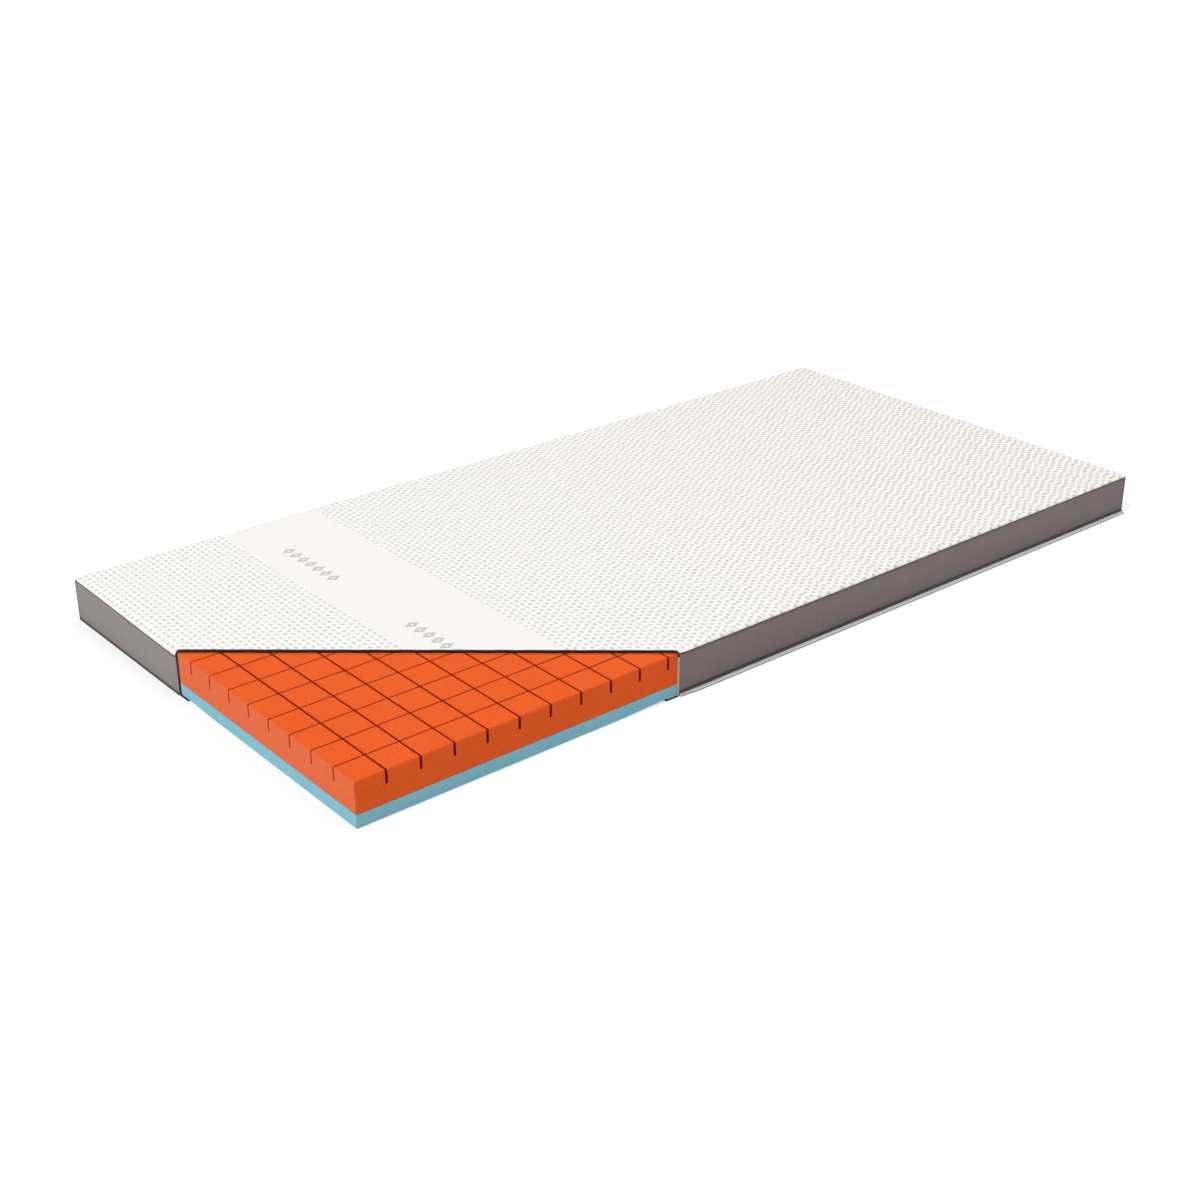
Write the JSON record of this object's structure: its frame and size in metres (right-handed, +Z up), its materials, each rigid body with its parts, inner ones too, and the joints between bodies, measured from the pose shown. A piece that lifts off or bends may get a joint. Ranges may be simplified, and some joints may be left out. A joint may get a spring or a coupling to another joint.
{
  "type": "foam mattress topper",
  "caption": "Thin two-layer foam mattress in a zip-off knitted cover with grey side borders, one foot corner of the cover cut away to show the slotted foam.",
  "frame": {"origin": "middle of the underside, on the surface that the mattress lies on", "axes": "+X across the width towards the side whose foot corner is cut away, +Y from the foot to the head, +Z up"},
  "size_m": [0.9839, 2, 0.09],
  "materials": {
    "top_knit": "matte",
    "bottom_cloth": "matte",
    "border_cloth": "matte",
    "seam_cloth": "matte",
    "dark_binding": "matte",
    "pale_binding": "matte",
    "comfort_foam": "matte",
    "base_foam": "matte",
    "zip_tape": "matte",
    "zip_coil": "satin",
    "zip_metal": "satin",
    "label_cloth": "matte"
  },
  "bodies": {
    "mattress_base": {"base_foam": "base_foam", "comfort_foam": "comfort_foam", "bottom_panel": "bottom_cloth", "zip_tape_lower": "zip_tape", "zip_coil_lower": "zip_coil", "zip_stop_lower": "zip_metal", "cut_binding_bottom": "dark_binding"},
    "cover_top": {"top_panel": "top_knit", "border_foot": "border_cloth", "border_right": "border_cloth", "border_head": "border_cloth", "border_left": "border_cloth", "top_seam_tape": "seam_cloth", "lower_seam_tape": "seam_cloth", "foot_seam_tape": "seam_cloth", "cut_binding_top": "dark_binding", "cut_binding_foot": "dark_binding", "cut_binding_right": "pale_binding", "zip_tape_upper": "zip_tape", "zip_coil_upper": "zip_coil", "zip_stop_upper": "zip_metal", "care_label": "label_cloth"},
    "slider": {"zip_slider": "zip_metal"},
    "pull_tab": {"zip_pull_tab": "zip_metal"}
  },
  "joints": [
    {"name": "cover_opening", "type": "hinge", "parent": "mattress_base", "child": "cover_top", "pos_m": [0, -1, 0], "axis": [1, 0, 0], "range_deg": [0, 90]},
    {"name": "zip_travel", "type": "slide", "parent": "mattress_base", "child": "slider", "axis": [0, 1, 0], "range_m": [0, 1.93]},
    {"name": "pull_tab_flip", "type": "hinge", "parent": "slider", "child": "pull_tab", "pos_m": [-0.49215, -0.9675, 0.0037], "axis": [0, 0, 1], "range_deg": [0, 170]}
  ]
}
